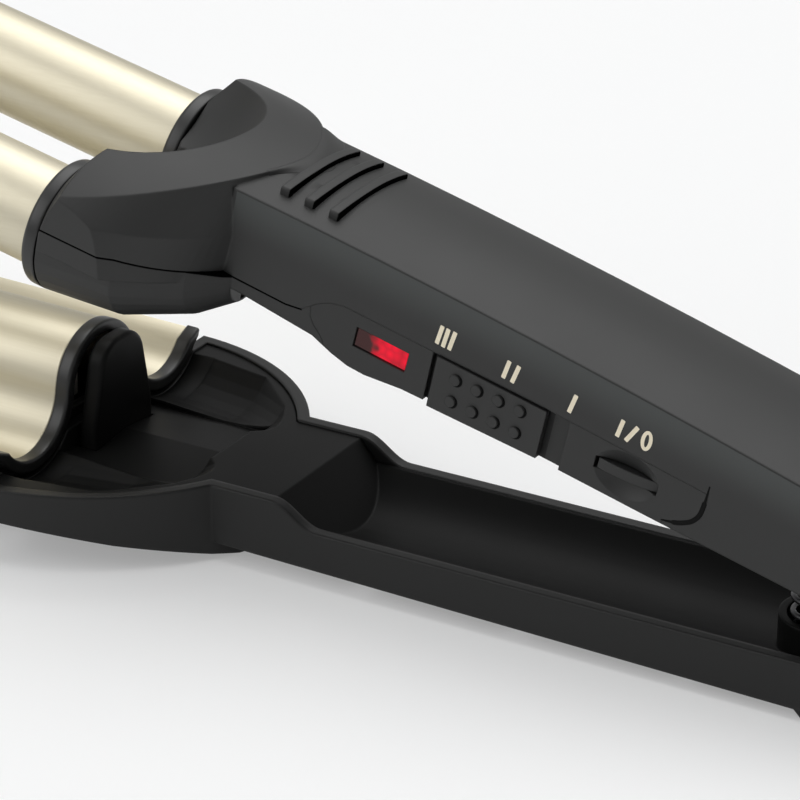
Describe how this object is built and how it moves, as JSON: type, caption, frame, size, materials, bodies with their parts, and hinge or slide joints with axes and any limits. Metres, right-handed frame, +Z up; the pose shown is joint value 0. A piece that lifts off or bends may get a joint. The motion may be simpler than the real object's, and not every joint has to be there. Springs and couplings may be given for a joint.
{
  "type": "hair waver",
  "caption": "Hair waver lying open: heated round barrels on a sprung upper arm close onto a wave-shaped plate on the lower arm, with a heat slider and a power rocker.",
  "frame": {"origin": "on the resting surface, straight below the hinge pin", "axes": "+Z up, +X from the barrel tips towards the hinge and cord, -Y the side with the controls"},
  "size_m": [0.3449, 0.0772, 0.0971],
  "materials": {
    "black_plastic": "fine satin grain",
    "dark_plastic": "fine satin grain",
    "champagne_coating": "satin ceramic coating over aluminium",
    "steel": "plain bright",
    "aluminium": "as extruded",
    "brass": "plain",
    "ceramic": "fired ceramic",
    "red_lens": "clear tinted",
    "board": "circuit board",
    "wire_red": "silicone insulation"
  },
  "bodies": {
    "lower_arm": {"lower_cover": "black_plastic", "lower_tray": "black_plastic", "wave_plate": "champagne_coating", "plate_collar": "black_plastic", "ridge_block": "black_plastic", "plate_backing": "black_plastic", "lower_tip_cap": "black_plastic", "lower_heater": "ceramic", "lower_leads": "wire_red", "tray_screws": "steel", "hinge_pin": "steel", "arm_spring": "steel"},
    "upper_arm": {"upper_casing": "black_plastic", "upper_base": "black_plastic", "lamp_bezel": "black_plastic", "lamp_lens": "red_lens", "indicator_led": "red_lens", "slider_track": "dark_plastic", "switch_plate": "black_plastic", "near_barrel": "champagne_coating", "far_barrel": "champagne_coating", "barrel_collars": "black_plastic", "barrel_tip_caps": "black_plastic", "barrel_heaters": "ceramic", "heater_clamps": "aluminium", "circuit_board": "board", "slider_switch": "steel", "power_switch": "dark_plastic", "thermal_fuse": "steel", "upper_leads": "wire_red", "casing_screws": "steel", "hinge_bushes": "brass", "gland_seat": "black_plastic"},
    "heat_slider": {"temperature_slider": "black_plastic"},
    "rocker": {"power_rocker": "black_plastic"},
    "cord_swivel": {"swivel_gland": "dark_plastic"}
  },
  "joints": [
    {"name": "jaw_hinge", "type": "hinge", "parent": "lower_arm", "child": "upper_arm", "pos_m": [0, 0, 0.0107], "axis": [0, -1, 0], "range_deg": [0, 11.57], "stiffness_Nm_per_rad": 2, "springref_deg": -20.05, "deforming": ["arm_spring"]},
    {"name": "slider_travel", "type": "slide", "parent": "upper_arm", "child": "heat_slider", "axis": [0.9749, 0, -0.2226], "range_m": [0, 0.0042]},
    {"name": "rocker_tilt", "type": "hinge", "parent": "upper_arm", "child": "rocker", "pos_m": [-0.0754, -0.0104, 0.03626], "axis": [-0.2226, 0, -0.9749], "range_deg": [0, 8]},
    {"name": "gland_swivel", "type": "hinge", "parent": "upper_arm", "child": "cord_swivel", "pos_m": [0.01838, 0, 0.01485], "axis": [0.9749, 0, -0.2226], "continuous": true}
  ]
}
